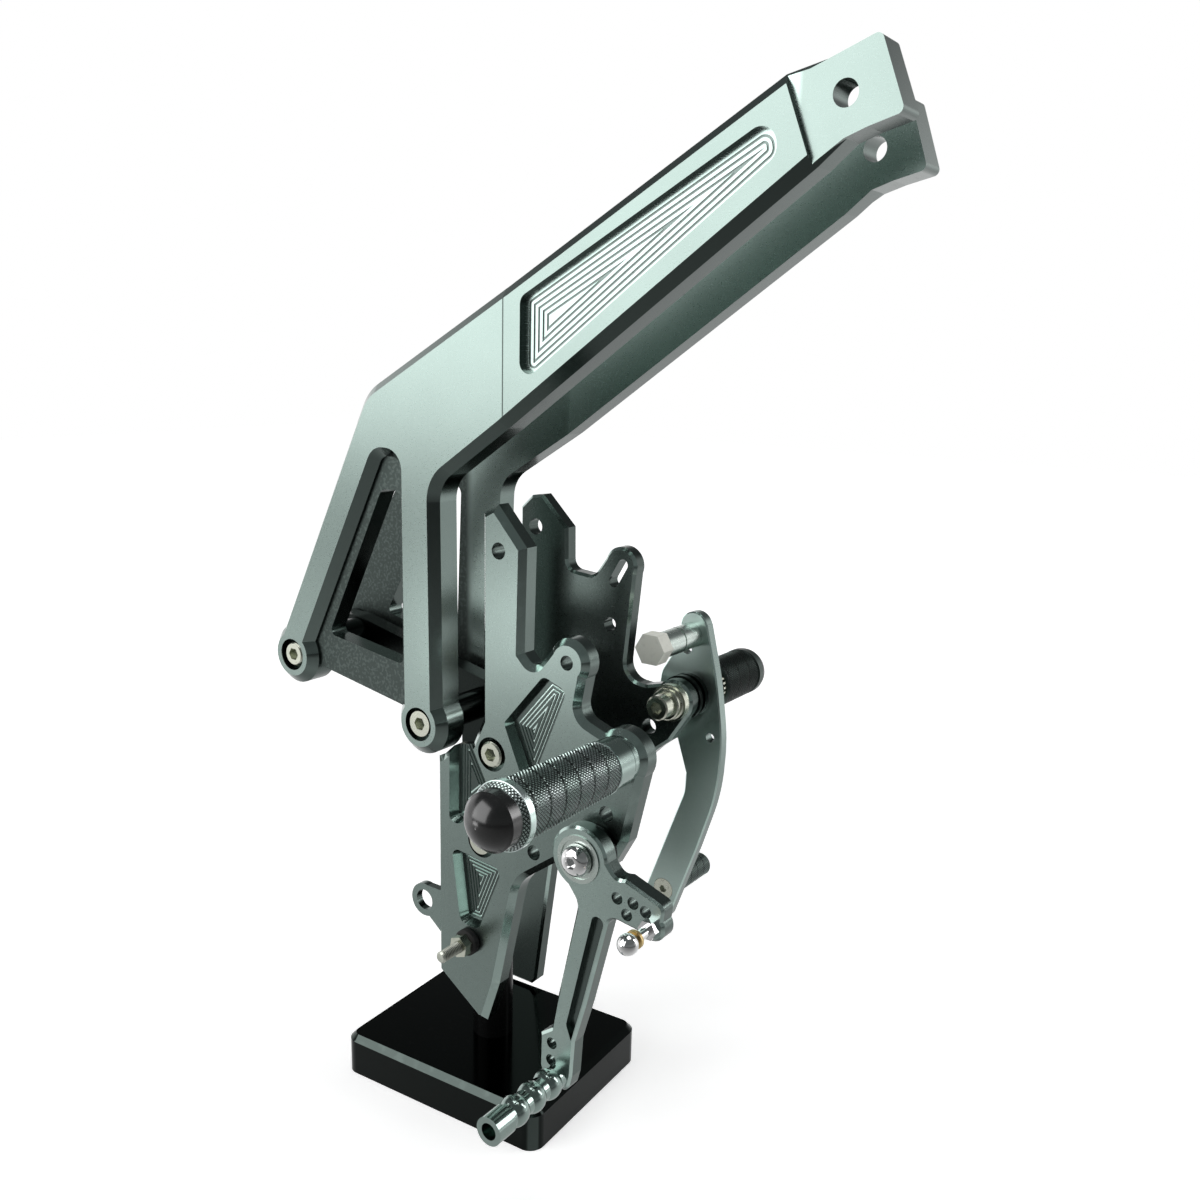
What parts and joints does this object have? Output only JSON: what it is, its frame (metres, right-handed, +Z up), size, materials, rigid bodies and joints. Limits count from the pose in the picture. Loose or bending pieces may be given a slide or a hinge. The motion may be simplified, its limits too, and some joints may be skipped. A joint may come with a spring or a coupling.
{
  "type": "rear sets footrest",
  "caption": "Motorcycle rear footrest sets with knurled pegs, shift lever, brake pedal and long subframe arms, bolted together on a display stand.",
  "frame": {"origin": "middle of the display base's underside, on the post's axis", "axes": "+X fore and aft along the plates towards the pegs, +Y across from the shift side to the brake side, +Z up"},
  "size_m": [0.3465, 0.2683, 0.5055],
  "materials": {
    "arm_metal": "satin anodised",
    "plate_metal": "satin anodised",
    "lever_metal": "satin anodised",
    "peg_metal": "knurled, anodised",
    "black_metal": "black anodised",
    "stand_black": "gloss black",
    "steel": "satin",
    "chrome": "polished",
    "brass": "satin",
    "cap_black": "gloss",
    "rubber": "matt"
  },
  "bodies": {
    "stand_and_plates": {"base": "stand_black", "post": "black_metal", "stand_head": "plate_metal", "fork_screw": "steel", "fork_nut": "steel", "left_arm": "arm_metal", "right_arm": "arm_metal", "left_arm_bolts": "steel", "right_arm_bolts": "steel", "left_front_spacer": "steel", "left_rear_spacer": "steel", "right_front_spacer": "steel", "right_rear_spacer": "steel", "left_plate": "plate_metal", "left_plate_bolts": "steel", "left_plate_spacers": "steel", "stop_washer": "rubber", "stop_nut": "steel", "stop_stud": "steel", "left_peg_collar": "peg_metal", "left_peg_barrel": "peg_metal", "left_peg_cap": "cap_black", "left_peg_bolt": "steel", "lever_spacer": "black_metal", "lever_bolt": "chrome", "right_plate": "plate_metal", "right_plate_bolts": "steel", "right_plate_spacers": "steel", "stepped_washer": "steel", "pedal_sleeve": "black_metal", "right_peg_collar": "peg_metal", "toothed_ring": "peg_metal", "right_peg_barrel": "peg_metal", "right_peg_cap": "cap_black", "right_peg_bolt": "steel"},
    "lever": {"shift_lever": "lever_metal", "lever_bearing": "steel", "ball_stud": "chrome", "stud_washer": "brass", "shift_toe_peg": "peg_metal", "shift_toe_screw": "steel"},
    "pedal": {"brake_pedal": "lever_metal", "pedal_bush": "brass", "linkage_bolt": "steel", "linkage_sleeve": "steel", "linkage_nut": "steel", "pedal_toe_peg": "peg_metal", "pedal_toe_screw": "steel"}
  },
  "joints": [
    {"name": "shift_lever_pivot", "type": "hinge", "parent": "stand_and_plates", "child": "lever", "pos_m": [0.0983, -0.0542, 0.1728], "axis": [0, 1, 0], "range_deg": [-12, 12]},
    {"name": "brake_pedal_pivot", "type": "hinge", "parent": "stand_and_plates", "child": "pedal", "pos_m": [0.082, 0.0652, 0.218], "axis": [0, 1, 0], "range_deg": [-5, 15]}
  ]
}
